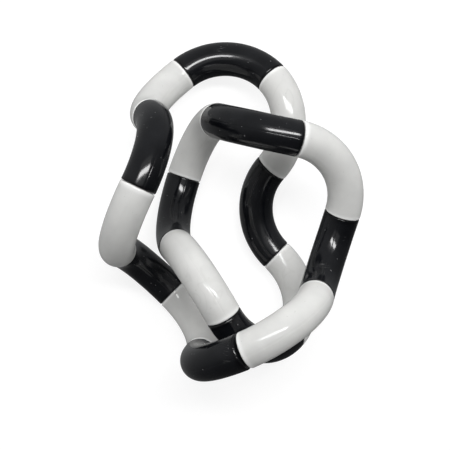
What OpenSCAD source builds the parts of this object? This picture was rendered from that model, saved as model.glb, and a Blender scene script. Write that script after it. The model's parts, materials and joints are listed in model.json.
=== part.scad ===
// Twisty snake puzzle: a closed loop of equal quarter-bend tubes, black and white in turn.
// A segment is two half shells with a snap pin held between them. The pin turns in the next
// segment's socket, so every joint swivels about the tube's own axis.
// The loop lies on a flat surface, with the origin at its box's bottom centre.

/* [Tube] */
// Outer diameter of the tube
tube_d = 9.9; // [9.4:0.1:10]
// Radius of each quarter bend at the tube's centre line
bend_r = 18.4; // [18:0.1:18.8]
// Wall thickness of the half shells
wall = 1.2; // [1.1:0.05:1.3]
// Length of the solid block at each end of a segment
end_block = 6; // [5.6:0.1:6.4]
// Chamfer around each end of a segment
end_chamfer = 0.4; // [0.3:0.05:0.5]
// Side of the square tongue that lines up the two half shells
tongue = 0.4; // [0.3:0.05:0.5]

/* [Swivel joint] */
// Gap between the faces of two joined segments
joint_gap = 0.1; // [0.06:0.02:0.2]
// Gap at the pivot where the loop is opened
open_gap = 0.7; // [0.6:0.1:0.9]
// Diameter of the snap pin
pin_d = 5; // [4.8:0.1:5.2]
// Diameter of the flange that holds the pin in its own segment
flange_d = 6.6; // [6.2:0.1:6.8]
// Height of the barb that snaps behind the socket's lip
barb = 0.5; // [0.4:0.05:0.55]
// Depth of the socket's lip, from the joint's middle
lip = 2; // [1.8:0.1:2.2]
// Width of the slot that lets the barb spring inwards
slot_w = 1; // [0.8:0.1:1.2]
// Running clearance around the pin, on the radius
clearance = 0.1; // [0.05:0.01:0.1]

/* [Pose] */
// Swivel of each joint in degrees, where 0 carries on round the same circle
swivels = [55, 30, 165, 120, -25, 55, -130, 0, 95, -75, -70, 135, 10, -110, 15, 105, 25, -150];
// Turn of the loop on the surface it lies on
heading = 140; // [-180:5:180]

/* [Hidden] */
$fn = 64;
SEGMENTS = len(swivels);
OPEN_JOINT = 12;          // the pivot where the closed loop is opened
TOUCHING = [14, 2, 6];    // segments that the loop stands on
ROUGH_UP = [-0.9, -0.1, -0.3];    // about upwards, in the chain's own frame
CLOSING_STEPS = 6;
SETTLING_STEPS = 8;
BOX_STEPS = 30;
CHAIN_FRAME = [[1, 0, 0], [0, 1, 0], [0, 0, 1]];
tube_r = tube_d / 2;
pin_r = pin_d / 2;
fit = 0.02;               // clearance between pieces of one segment
flange_front = 2.4;       // depth of the pin's flange below the joint's middle
flange_back = 3.6;
barb_land = 0.4;          // flat top of the barb
barb_slope = 1.2;
barb_end = lip + barb_land + barb_slope;
nose_end = 5.2;
nose_taper = 0.4;
core_r = 1.1;
slot_start = 0.8;
PAST = 1;                 // how far a cut runs past the surface that it opens

// ---- The chain: directions of travel and places of the joints ----

function sum(v) = [for (x = v) 1] * v;
function unit(v) = v / norm(v);
function transpose(m) = [for (j = [0:len(m[0]) - 1]) [for (row = m) row[j]]];

// Direction after the next bend, when its plane is swivelled by a about the direction of travel
function turned(before, along, a) = sin(a) * cross(before, along) - cos(a) * before;

// Direction of travel at every joint, and at the end, where it must equal the first
function directions(angles, before = CHAIN_FRAME.x, along = CHAIN_FRAME.y, k = 0) =
    k == len(angles) ? [along]
    : concat([along], directions(angles, along, turned(before, along, angles[k]), k + 1));

// Sum of the directions after joint k
function sum_after(t, k) = k < SEGMENTS - 1 ? sum([for (j = [k + 1:SEGMENTS - 1]) t[j]]) : [0, 0, 0];

// Solves a square system whose rows end with the right-hand side
function solve(rows) =
    len(rows) == 0 ? []
    : let (last = len(rows),
           top = rows[0] / rows[0][0],
           rest = solve([for (i = [1:1:last - 1]) [for (j = [1:last]) rows[i][j] - rows[i][0] * top[j]]]))
      concat([top[last] - (last > 1 ? [for (j = [1:last - 1]) top[j]] * rest : 0)], rest);

// Least change of all the swivels that brings the chain's end back to its start
function closing_change(t) =
    let (moves = [for (k = [0:SEGMENTS - 1]) concat(cross(t[k], sum_after(t, k)), t[k])],
         ends = [t[SEGMENTS - 1], t[SEGMENTS], cross(t[SEGMENTS - 1], t[SEGMENTS])],
         gap = -sum([for (k = [0:SEGMENTS - 1]) t[k]]),
         twist = sum([for (i = [0:2]) cross(ends[i], CHAIN_FRAME[i])]) / 2,
         square = transpose(moves) * moves,
         target = concat(gap, twist))
    moves * solve([for (i = [0:5]) concat(square[i], [target[i]])]) * 180 / PI;

function closed(angles, steps) =
    steps == 0 ? angles : closed(angles + closing_change(directions(angles)), steps - 1);

chain_t = directions(closed(swivels, CLOSING_STEPS));
chain_p = [for (k = 0, p = [0, 0, 0]; k < SEGMENTS;
                p = p + bend_r * (chain_t[k] + chain_t[k + 1]), k = k + 1) p];

// ---- The rest pose: the chain stood on the segments that touch the surface ----

// Point of a segment's centre line that is turned by a from its first joint
function on_arc(p, t, k, a) = p[k] + bend_r * (sin(a) * t[k] + (1 - cos(a)) * t[k + 1]);

function lowest_on_arc(k, up) =
    on_arc(chain_p, chain_t, k, max(0, min(90, atan2(-up * chain_t[k], up * chain_t[k + 1]))));

function settled(up, steps) =
    steps == 0 ? up
    : let (feet = [for (k = TOUCHING) lowest_on_arc(k, up)],
           normal = unit(cross(feet[1] - feet[0], feet[2] - feet[0])))
      settled(normal * sign(normal * up), steps - 1);

up = settled(unit(ROUGH_UP), SETTLING_STEPS);
right = unit(CHAIN_FRAME.x - (CHAIN_FRAME.x * up) * up);
ahead = cross(up, right);
stand = [cos(heading) * right - sin(heading) * ahead, sin(heading) * right + cos(heading) * ahead, up];
stood_t = [for (t = chain_t) stand * t];
stood_p = [for (p = chain_p) stand * p];

// Largest reach of the tubes along an axis
function reach(axis) = max([
    for (k = [0:SEGMENTS - 1], i = [0:BOX_STEPS])
    let (a = 90 * i / BOX_STEPS, along = cos(a) * stood_t[k] + sin(a) * stood_t[k + 1])
    axis * on_arc(stood_p, stood_t, k, a) + tube_r * norm(cross(axis, along))]);

box_bottom = [(reach([1, 0, 0]) - reach([-1, 0, 0])) / 2,
              (reach([0, 1, 0]) - reach([0, -1, 0])) / 2,
              -reach([0, 0, -1])];
joint_t = stood_t;
joint_p = [for (p = stood_p) p - box_bottom];

// ---- One segment, in its own frame: it starts at the origin along X and bends towards Y ----

module at_segment(k) {
    side = cross(joint_t[k], joint_t[k + 1]);
    multmatrix(transpose([joint_t[k], joint_t[k + 1], side, joint_p[k]])) children();
}

module segment_color(k) {
    color(k % 2 == 0 ? "black" : "whitesmoke") children();
}

function half_gap(joint) = (joint % SEGMENTS == OPEN_JOINT ? open_gap : joint_gap) / 2;

// Revolves a profile through a stretch of the bend, where 0 is the first joint and 90 the next
module bend(from, to) {
    translate([0, bend_r, 0]) rotate([0, 0, from - 90])
        rotate_extrude(angle = to - from) translate([bend_r, 0]) children();
}

// Takes away what lies beyond a segment's end face, its chamfer, and the hole in its end block.
// Z runs into the segment from the middle of the joint. The hole is a list of [radius, depth].
module end_cut(gap, hole) {
    rim = tube_r - end_chamfer;
    rotate_extrude() polygon(concat(
        [[0, -PAST], [tube_r + PAST, -PAST], [tube_r + PAST, gap + end_chamfer + PAST], [rim, gap],
         [hole[0][0], gap]],
        [for (i = [0:len(hole) - 1], r = i + 1 < len(hole) ? [hole[i][0], hole[i + 1][0]] : [hole[i][0]])
            [r, hole[i][1]]],
        [[0, hole[len(hole) - 1][1]]]));
}

module socket_cut(gap) {
    bore = pin_r + clearance;
    rotate([0, 90, 0])
        end_cut(gap, [[bore, lip], [bore + barb, barb_end + clearance], [bore, end_block + PAST]]);
}

module pin_seat_cut(gap) {
    translate([bend_r, bend_r, 0]) rotate([90, 0, 0])
        end_cut(gap, [[pin_r + fit, flange_front], [flange_d / 2 + fit, flange_back]]);
}

// Half of a segment's tube: side 1 lies above the plane of the bend and side -1 below it
module half_tube(side) {
    block = end_block / bend_r * 180 / PI;
    difference() {
        bend(0, 90) intersection() {
            circle(tube_r);
            translate([-tube_r, side > 0 ? 0 : -tube_r]) square([tube_d, tube_r]);
        }
        bend(block, 90 - block) circle(tube_r - wall);
    }
}

// Square strips along both edges of the tube, in the middle of its wall
module tongues(size) {
    for (edge = [-1, 1]) bend(0, 90)
        translate([edge * (tube_r - wall / 2) - size / 2, 0]) square(size);
}

module shell(k, side) {
    segment_color(k) at_segment(k) difference() {
        if (side > 0) difference() {
            half_tube(side);
            tongues(tongue + 2 * fit);
        }
        else union() {
            half_tube(side);
            tongues(tongue);
        }
        socket_cut(half_gap(k));
        pin_seat_cut(half_gap(k + 1));
    }
}

// Z runs out of the pin's own segment, from the middle of the joint
module pin_body(end) {
    barb_start = lip + fit;
    rotate_extrude() polygon(concat(
        [[core_r, -flange_back], [flange_d / 2, -flange_back], [flange_d / 2, -flange_front],
         [pin_r, -flange_front]],
        end == "barbed"
            ? [[pin_r, barb_start], [pin_r + barb, barb_start], [pin_r + barb, barb_start + barb_land],
               [pin_r, barb_end], [pin_r - nose_taper, nose_end], [core_r, nose_end]]
            : [[pin_r, -open_gap / 2], [core_r, -open_gap / 2]]));
}

module pin(k) {
    end = (k + 1) % SEGMENTS == OPEN_JOINT ? "flush" : "barbed";
    segment_color(k) at_segment(k) translate([bend_r, bend_r, 0]) rotate([-90, 0, 0]) difference() {
        pin_body(end);
        if (end == "barbed")
            translate([-slot_w / 2, -flange_d, slot_start]) cube([slot_w, 2 * flange_d, 2 * nose_end]);
    }
}

// ---- The nodes: two shells and a pin for each segment ----

function piece(k, name) = str("segment_", k < 9 ? "0" : "", k + 1, "_", name);

for (k = [0:SEGMENTS - 1]) {
    shell(k, 1);
    shell(k, -1);
    pin(k);
}
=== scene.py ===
"""Looks of the twisty snake puzzle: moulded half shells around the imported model, with their plastics,
on a pale floor in soft light, seen from above."""

import json
import math

import bpy
from mathutils import Matrix, Vector, noise

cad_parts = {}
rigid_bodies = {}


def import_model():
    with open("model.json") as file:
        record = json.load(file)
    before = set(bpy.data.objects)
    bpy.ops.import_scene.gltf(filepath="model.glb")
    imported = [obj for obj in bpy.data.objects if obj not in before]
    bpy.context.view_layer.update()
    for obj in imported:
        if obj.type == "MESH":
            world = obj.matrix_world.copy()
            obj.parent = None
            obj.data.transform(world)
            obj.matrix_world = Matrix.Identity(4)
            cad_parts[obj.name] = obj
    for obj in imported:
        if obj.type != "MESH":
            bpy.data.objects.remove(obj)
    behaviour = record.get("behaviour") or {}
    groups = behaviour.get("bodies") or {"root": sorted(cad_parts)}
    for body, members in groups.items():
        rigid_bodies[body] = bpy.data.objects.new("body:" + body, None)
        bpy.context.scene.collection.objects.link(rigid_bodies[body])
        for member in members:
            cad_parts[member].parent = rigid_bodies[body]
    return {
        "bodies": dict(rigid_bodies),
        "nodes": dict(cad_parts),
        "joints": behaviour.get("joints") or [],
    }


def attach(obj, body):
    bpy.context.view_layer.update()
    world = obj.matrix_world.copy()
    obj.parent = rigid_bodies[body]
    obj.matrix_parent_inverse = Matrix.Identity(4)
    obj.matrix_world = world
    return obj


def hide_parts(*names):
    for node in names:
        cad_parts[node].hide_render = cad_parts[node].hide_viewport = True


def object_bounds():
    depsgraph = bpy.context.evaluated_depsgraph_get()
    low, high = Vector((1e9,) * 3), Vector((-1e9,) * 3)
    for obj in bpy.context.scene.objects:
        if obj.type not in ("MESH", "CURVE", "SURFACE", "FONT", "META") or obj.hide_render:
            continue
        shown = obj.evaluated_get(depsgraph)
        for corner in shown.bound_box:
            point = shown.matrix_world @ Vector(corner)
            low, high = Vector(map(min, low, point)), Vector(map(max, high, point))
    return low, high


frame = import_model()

cad_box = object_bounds()
MM = 0.001

# The moulded segment, in millimetres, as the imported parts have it
TUBE_R = 4.95
INNER_R = 3.75
END_BLOCK = 6.0
JOINT_GAP = 0.05
OPEN_GAP = 0.35
SOCKET_R, SOCKET_BARB_R, SOCKET_LIP, SOCKET_BARB_END = 2.6, 3.1, 2.0, 3.7
SEAT_R, SEAT_FLANGE_R, SEAT_FRONT, SEAT_BACK = 2.52, 3.32, 2.4, 3.6

# Details of the moulding
LIP_ROUNDING = 0.45
LIP_STEPS = 6
BORE_ROUNDING = 0.2
LIP_MARGIN, BORE_MARGIN = 0.15, 0.1       # flat rings that keep a rounding's shading off the end face
SURFACE_STEP = 0.4       # along the tube
INNER_STEP = 1.6
ANGLE_STEP = 5.0         # around it, in degrees
SEAM = [(0.0, 0.03), (0.3, 0.025), (0.75, 0.008), (1.4, 0.0)]   # degrees from the parting line, depth
WAVES = [(7.0, 0.016), (2.6, 0.004)]      # wavelength and depth of the surface's unevenness
SINK_DEPTH, SINK_WIDTH = 0.012, 1.5       # shrinkage over the solid end blocks
FADE = 2.0               # over which the unevenness dies out toward the lips
PAINTED_LIP_WIDTH = 0.5          # of the painted light at each end: a painted highlight on white ends, painted shade on black ends
SHARP_ANGLE = 28         # edges over this many degrees aren't smoothed

SEGMENTS = len(frame["bodies"])


# ---- The chain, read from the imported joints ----

def index_of(body):
    return int(body.split("_")[1]) - 1


def chain():
    """Joint places in metres and directions of travel. The opened joint is found from its neighbours."""
    place, along = {}, {}
    for joint in frame["joints"]:
        a, b = index_of(joint["parent"]), index_of(joint["child"])
        k = max(a, b) if abs(a - b) == 1 else 0
        place[k] = Vector(joint["pos_m"])
        along[k] = Vector(joint["axis"]).normalized()
    for k in along:      # an axis may point against the direction of travel
        if k + 1 in place:
            step = place[k + 1] - place[k]
        else:
            step = place[k] - place[k - 1]
        if step.dot(along[k]) < 0:
            along[k].negate()
    k = next(i for i in range(SEGMENTS) if i not in place)
    bend_r = (place[1] - place[0]).length / math.sqrt(2)
    along[k] = -sum((along[i] for i in along), Vector())
    along[k].normalize()
    place[k] = place[k - 1] + bend_r * (along[k - 1] + along[k])
    return k, bend_r / MM, place, along


open_joint, BEND_R, place, along = chain()
ARC = BEND_R * math.pi / 2


def segment_matrix(k):
    x, y = along[k], along[(k + 1) % SEGMENTS]
    y = (y - y.dot(x) * x).normalized()
    m = Matrix((x, y, x.cross(y))).transposed().to_4x4()
    return Matrix.Translation(place[k]) @ m @ Matrix.Scale(MM, 4)


# ---- One half of a moulded segment ----

def ring_point(kind, s, rho, phi):
    """A point at radius rho and angle phi, at s along the bend or straight into one of the ends."""
    c, d = rho * math.cos(phi), rho * math.sin(phi)
    if kind == "start":
        return (s, c, d)
    if kind == "finish":
        return (BEND_R - c, BEND_R - s, d)
    a = s / BEND_R
    return ((BEND_R - c) * math.sin(a), BEND_R - (BEND_R - c) * math.cos(a), d)


def arc_steps(steps):
    return [math.pi / 2 * i / steps for i in range(steps + 1)]


def profile(gap0, gap1):
    """The moulding's outline as (kind, s, rho, outer), over the outside first and then back inside."""
    f, b = LIP_ROUNDING, BORE_ROUNDING
    first = [("bend", gap0 + f * (1 - math.sin(a)), TUBE_R - f * (1 - math.cos(a)), 0)
             for a in reversed(arc_steps(LIP_STEPS))]
    last = [("bend", ARC - gap1 - f * (1 - math.sin(a)), TUBE_R - f * (1 - math.cos(a)), 0)
            for a in arc_steps(LIP_STEPS)]
    s0, s1 = gap0 + f, ARC - gap1 - f
    n = round((s1 - s0) / SURFACE_STEP)
    surface = [("bend", s0 + (s1 - s0) * i / n, TUBE_R, 1) for i in range(1, n)]
    seat = [("bend", ARC - gap1, TUBE_R - f - LIP_MARGIN, 0),
            ("finish", gap1, SEAT_R + b + BORE_MARGIN, 0)]
    seat += [("finish", gap1 + b * (1 - math.cos(a)), SEAT_R + b * (1 - math.sin(a)), 0)
             for a in arc_steps(3)]
    seat += [("finish", SEAT_FRONT, SEAT_R, 0), ("finish", SEAT_FRONT, SEAT_FLANGE_R, 0),
             ("finish", SEAT_BACK, SEAT_FLANGE_R, 0), ("finish", SEAT_BACK, 0, 0),
             ("bend", ARC - END_BLOCK, 0, 0)]
    m = round((ARC - 2 * END_BLOCK) / INNER_STEP)
    hollow = [("bend", ARC - END_BLOCK - (ARC - 2 * END_BLOCK) * i / m, INNER_R, 0)
              for i in range(m + 1)]
    socket = [("start", END_BLOCK, SOCKET_R, 0), ("start", SOCKET_BARB_END, SOCKET_R, 0),
              ("start", SOCKET_BARB_END, SOCKET_BARB_R, 0), ("start", SOCKET_LIP, SOCKET_BARB_R, 0),
              ("start", SOCKET_LIP, SOCKET_R, 0)]
    socket += [("start", gap0 + b * (1 - math.cos(a)), SOCKET_R + b * (1 - math.sin(a)), 0)
               for a in reversed(arc_steps(3))]
    socket += [("start", gap0, SOCKET_R + b + BORE_MARGIN, 0), ("bend", gap0, TUBE_R - f - LIP_MARGIN, 0)]
    return first + surface + last + seat + hollow + socket


def angles():
    """Angles from one parting line to the other, with the depth of the seam's groove at each."""
    near = [(math.radians(a), d) for a, d in SEAM]
    n = round((180 - 2 * SEAM[-1][0]) / ANGLE_STEP)
    low = near[-1][0]
    middle = [(low + (math.pi - 2 * low) * i / n, 0.0) for i in range(1, n)]
    return near + middle + [(math.pi - a, d) for a, d in reversed(near)]


def unevenness(point, k, s, gap0, gap1):
    """Depth below the nominal surface, in millimetres, fading out at the lips."""
    fade = min(1.0, (s - gap0) / FADE, (ARC - gap1 - s) / FADE)
    depth = 0.0
    for wavelength, size in WAVES:
        depth += size * (0.5 + 0.5 * noise.noise(Vector(point) / wavelength + Vector((37.1 * k, 0, 0))))
    edge = min(s, ARC - s) - END_BLOCK
    depth += SINK_DEPTH * math.exp(-(edge / SINK_WIDTH) ** 2)
    return max(0.0, fade) * depth


def outside(rho):
    return rho > TUBE_R - LIP_ROUNDING - 0.01


def rim_level(kind, s, rho, gap0, gap1):
    """Strength of the painted light at the lips (painted highlight on white, painted shade on black): 1 at
    the lips, fading out along the tube. The inside has none.
    """
    if kind != "bend" or not outside(rho):
        return 0.0
    edge = min(s - gap0, ARC - gap1 - s) - LIP_ROUNDING
    return math.exp(-(max(0.0, edge) / PAINTED_LIP_WIDTH) ** 2)


def half_mesh(name, k, side):
    gap0 = OPEN_GAP if k == open_joint else JOINT_GAP
    gap1 = OPEN_GAP if (k + 1) % SEGMENTS == open_joint else JOINT_GAP
    outline, around = profile(gap0, gap1), angles()
    matrix = segment_matrix(k)
    points, rims, grid = [], [], []
    for kind, s, rho, outer in outline:
        row = []
        for phi, groove in around:
            if rho == 0 and row:
                row.append(row[0])
                continue
            r = rho
            if outside(rho):
                r -= groove
            p = ring_point(kind, s, r, side * phi)
            if outer:
                r -= unevenness(p, k, s, gap0, gap1)
                p = ring_point(kind, s, r, side * phi)
            row.append(len(points))
            points.append(matrix @ Vector(p))
            rims.append(rim_level(kind, s, rho, gap0, gap1))
        grid.append(row)
    faces = []
    for i in range(len(grid)):
        a, b = grid[i], grid[(i + 1) % len(grid)]
        for j in range(len(around) - 1):
            quad = list(dict.fromkeys((a[j], a[j + 1], b[j + 1], b[j])))
            if len(quad) > 2:
                faces.append(quad)
    for j in (0, len(around) - 1):
        cap = list(dict.fromkeys(row[j] for row in grid))
        faces.append(cap[::-1] if j else cap)
    if side < 0:
        faces = [face[::-1] for face in faces]
    mesh = bpy.data.meshes.new(name)
    mesh.from_pydata(points, [], faces)
    # per-point strength of the painted lip light: painted highlight on white ends, painted shade on black
    # ends
    mesh.attributes.new("rim", "FLOAT", "POINT").data.foreach_set("value", rims)
    mesh.validate()
    mesh.shade_smooth()
    mesh.set_sharp_from_angle(angle=math.radians(SHARP_ANGLE))
    return mesh


# ---- Plastics ----

class Graph:
    """Short names for making a material's nodes."""

    def __init__(self, name):
        self.material = bpy.data.materials.new(name)
        self.material.use_nodes = True
        self.nodes = self.material.node_tree.nodes
        self.links = self.material.node_tree.links
        self.shader = self.nodes["Principled BSDF"]
        self.place = self.add("ShaderNodeTexCoord").outputs["Object"]

    def add(self, kind, **settings):
        node = self.nodes.new(kind)
        for key, value in settings.items():
            if key in node.inputs:
                self.put(node, key, value)
            else:
                setattr(node, key, value)
        return node

    def put(self, node, key, value):
        if isinstance(value, bpy.types.NodeSocket):
            self.links.new(value, node.inputs[key])
        else:
            node.inputs[key].default_value = value

    def stretched(self, scale, turn=(0, 0, 0)):
        node = self.add("ShaderNodeMapping", Vector=self.place, Scale=scale, Rotation=turn)
        return node.outputs["Vector"]

    def noise(self, scale, detail=2.0, roughness=0.5, distortion=0.0, vector=None):
        return self.add("ShaderNodeTexNoise", Vector=vector or self.place, Scale=scale, Detail=detail,
                        Roughness=roughness, Distortion=distortion).outputs["Fac"]

    def ramp(self, value, *stops):
        node = self.add("ShaderNodeValToRGB", Fac=value)
        band = node.color_ramp
        while len(band.elements) < len(stops):
            band.elements.new(0.5)
        for element, (at, level) in zip(band.elements, stops):
            element.position = at
            element.color = (level, level, level, 1)
        return node.outputs["Color"]

    def math(self, operation, a, b):
        node = self.add("ShaderNodeMath", operation=operation)
        self.put(node, 0, a)
        self.put(node, 1, b)
        return node.outputs[0]

    def mix(self, amount, a, b):
        node = self.add("ShaderNodeMix", data_type="RGBA")
        self.put(node, 0, amount)
        self.put(node, 6, a)
        self.put(node, 7, b)
        return node.outputs[2]

    def range(self, value, low, high):
        return self.add("ShaderNodeMapRange", **{"Value": value, "To Min": low, "To Max": high}).outputs[0]


def scratches(g, density, turn, seed):
    """Thin broken lines: narrow bands of a stretched noise, kept only in scattered places."""
    along_line = g.noise(1.0, 1.0, 0.4, 0.6, vector=g.stretched((90, 900, 90), turn))
    band = g.ramp(along_line, (0.488, 0), (0.5, 1), (0.512, 0))
    spread = g.noise(160 + seed, 1.0)
    kept = g.ramp(spread, (1 - density, 0), (1 - density + 0.05, 1))
    return g.math("MULTIPLY", band, kept)


def specks(g, scale, size, share, seed):
    """Dust and pinholes: small round dots at scattered points."""
    dots = g.add("ShaderNodeTexVoronoi", Vector=g.stretched((1, 1, 1), (seed, 2 * seed, 0)), Scale=scale)
    near = g.ramp(dots.outputs["Distance"], (0, 1), (size, 0))
    chosen = g.add("ShaderNodeSeparateColor", Color=dots.outputs["Color"]).outputs["Red"]
    kept = g.math("GREATER_THAN", chosen, 1 - share)
    return g.math("MULTIPLY", near, kept)


def swirls(g):
    """Flow marks: curved streaks in a few patches."""
    streaks = g.ramp(g.noise(95, 1.0, 0.4, 1.6), (0.46, 0), (0.5, 1), (0.54, 0))
    patches = g.ramp(g.noise(50, 1.0), (0.54, 0), (0.66, 1))
    return g.math("MULTIPLY", streaks, patches)


def plastic(name, base, tint, rim, dust, rough, smear, scratch_level, swirl_level):
    """Moulded gloss plastic, with shade changes, painted light at the lips (a painted highlight on white,
    painted shade on black), flow marks, dust, scratches, haze and orange peel."""
    g = Graph(name)
    shade = g.noise(140, 3.0, 0.55)
    colour = g.mix(g.ramp(shade, (0.3, 0), (0.7, 1)), base, tint)
    # painted lip light: toward a lighter colour on white ends (painted highlight), a darker one on black
    # ends (painted shade)
    lip_light_mask = g.add("ShaderNodeAttribute", attribute_name="rim").outputs["Fac"]
    colour = g.mix(g.math("MULTIPLY", lip_light_mask, 0.8), colour, rim)
    colour = g.mix(g.math("MULTIPLY", swirls(g), swirl_level), colour, dust)
    dots = g.math("MAXIMUM", specks(g, 800, 0.13, 0.2, 0.4), specks(g, 380, 0.1, 0.13, 1.1))
    lines = g.math("MAXIMUM", scratches(g, 0.3, (0.2, 0.5, 0.3), 0),
                   scratches(g, 0.26, (1.1, 0.2, 1.9), 45))
    lines = g.math("MAXIMUM", lines, scratches(g, 0.26, (0.4, 1.4, 2.7), 90))
    marks = g.math("MAXIMUM", g.math("MULTIPLY", dots, 0.9), g.math("MULTIPLY", lines, scratch_level))
    g.put(g.shader, "Base Color", g.mix(marks, colour, dust))
    haze = g.noise(75, 4.0, 0.62, 0.8)
    roughness = g.range(g.ramp(haze, (0.35, 0), (0.7, 1)), rough, smear)
    g.put(g.shader, "Roughness", g.math("ADD", roughness, g.math("MULTIPLY", marks, 0.25)))
    peel = g.noise(1100, 2.0)
    ripple = g.noise(330, 2.0, 0.4)
    height = g.math("ADD", g.math("MULTIPLY", peel, 0.25), g.math("MULTIPLY", ripple, 1.0))
    height = g.math("SUBTRACT", height, g.math("MULTIPLY", lines, 0.5))
    bump = g.add("ShaderNodeBump", Strength=0.25, Distance=0.00006, Height=height)
    g.put(g.shader, "Normal", bump.outputs["Normal"])
    g.shader.inputs["IOR"].default_value = 1.5
    return g.material


# The third colour is the painted light at the lips: darker than the base on black (painted shade), lighter
# on white (painted highlight)
black = plastic("black_gloss", (0.0022, 0.0025, 0.0034, 1), (0.0065, 0.007, 0.0085, 1),
                (0.001, 0.001, 0.0015, 1), (0.22, 0.22, 0.22, 1), 0.09, 0.22, 0.35, 0.012)
white = plastic("white_gloss", (0.54, 0.54, 0.53, 1), (0.6, 0.6, 0.585, 1), (0.78, 0.78, 0.77, 1),
                (0.34, 0.34, 0.32, 1), 0.06, 0.17, 0.18, 0.13)
white.node_tree.nodes["Principled BSDF"].inputs["Specular IOR Level"].default_value = 0.26


# ---- The pieces ----

for k in range(SEGMENTS):
    body = f"segment_{k + 1:02d}"
    material = white if k % 2 else black
    for letter, side in (("a", 1), ("b", -1)):
        name = f"{body}_half_{letter}"
        half = bpy.data.objects.new(name, half_mesh(name, k, side))
        half.data.materials.append(material)
        bpy.context.scene.collection.objects.link(half)
        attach(half, body)
        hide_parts(f"{body}_shell_{letter}")
    pin = frame["nodes"][f"{body}_pin"]
    pin.data.materials.clear()
    pin.data.materials.append(material)


# ---- Camera, floor and light ----

def look_from(obj, spot, aim, roll=0.0):
    """Stands obj at spot, facing aim, with +Y upwards before the roll."""
    back = (Vector(spot) - Vector(aim)).normalized()
    right = Vector((0, 1, 0)).cross(back).normalized()
    turn = Matrix((right, back.cross(right), back)).transposed().to_4x4()
    obj.matrix_world = Matrix.Translation(spot) @ turn @ Matrix.Rotation(math.radians(roll), 4, "Z")


LENS = 89.45
CAMERA_SPOT, CAMERA_AIM, CAMERA_ROLL = (-0.0256, -0.01875, 0.3331), (-0.00103, -0.00587, 0.02), 1.0

camera = bpy.data.objects.new("camera", bpy.data.cameras.new("camera"))
bpy.context.scene.collection.objects.link(camera)
camera.data.lens = LENS
camera.data.clip_start = 0.01
look_from(camera, CAMERA_SPOT, CAMERA_AIM, CAMERA_ROLL)
bpy.context.scene.camera = camera

FLOOR_REACH = 2.0
FLOOR_DROP = 0.00002     # keeps the floor just clear of the lowest tubes
floor_mesh = bpy.data.meshes.new("floor")
corners = [(x * FLOOR_REACH, y * FLOOR_REACH, 0) for x, y in ((-1, -1), (1, -1), (1, 1), (-1, 1))]
floor_mesh.from_pydata(corners, [], [(0, 1, 2, 3)])
floor = bpy.data.objects.new("floor", floor_mesh)
bpy.context.scene.collection.objects.link(floor)
floor.location.z = cad_box[0].z - FLOOR_DROP
g = Graph("pale_floor")
g.put(g.shader, "Base Color", g.mix(g.noise(3, 2.0), (0.215, 0.215, 0.215, 1), (0.235, 0.235, 0.235, 1)))
g.shader.inputs["Roughness"].default_value = 0.9
g.shader.inputs["Specular IOR Level"].default_value = 0.0
g.shader.inputs["Emission Color"].default_value = (1, 1, 1, 1)
g.shader.inputs["Emission Strength"].default_value = 0.83
floor.data.materials.append(g.material)
floor.visible_glossy = False     # it lights the tubes from below, but they don't mirror it


def softbox(name, direction, distance, size, radiance, mirrored=True):
    """A rectangular area light of the given radiance, aimed at the middle of the loop. With mirrored
    False it lights the object but shows in no reflection."""
    data = bpy.data.lights.new(name, "AREA")
    data.shape = "RECTANGLE"
    data.size, data.size_y = size
    data.energy = radiance * math.pi * size[0] * size[1]
    lamp = bpy.data.objects.new(name, data)
    bpy.context.scene.collection.objects.link(lamp)
    middle = Vector((0, 0, 0.02))
    look_from(lamp, middle + Vector(direction).normalized() * distance, middle)
    lamp.visible_camera = False
    lamp.visible_glossy = mirrored


softbox("main_softbox", (0.04, 0.27, 1), 0.6, (0.46, 0.11), 18)
softbox("glow", (-0.02, 0.2, 1), 0.7, (0.6, 0.6), 0.4)
softbox("north_fill", (0.15, 1, 0.6), 0.8, (0.8, 0.5), 2.2, mirrored=False)
softbox("east_fill", (1, 0.1, 0.5), 0.8, (0.5, 0.5), 0.6, mirrored=False)
softbox("west_fill", (-1, 0.1, 0.5), 0.8, (0.5, 0.5), 0.7, mirrored=False)

world = bpy.data.worlds.new("studio")
bpy.context.scene.world = world
world.use_nodes = True
nodes, links = world.node_tree.nodes, world.node_tree.links
where = nodes.new("ShaderNodeTexCoord")
toward_bright = nodes.new("ShaderNodeVectorMath")
toward_bright.operation = "DOT_PRODUCT"
links.new(where.outputs["Generated"], toward_bright.inputs[0])
toward_bright.inputs[1].default_value = (-0.35, 0.94, 0)
north = nodes.new("ShaderNodeMapRange")
links.new(toward_bright.outputs["Value"], north.inputs["Value"])
north.inputs["From Min"].default_value = -0.8
north.inputs["From Max"].default_value = 0.8
north.inputs["To Min"].default_value = 0.05
north.inputs["To Max"].default_value = 0.32
north.interpolation_type = "SMOOTHSTEP"
links.new(north.outputs[0], nodes["Background"].inputs["Strength"])
nodes["Background"].inputs["Color"].default_value = (0.98, 0.99, 1.0, 1)

bpy.context.scene.view_settings.view_transform = "Standard"
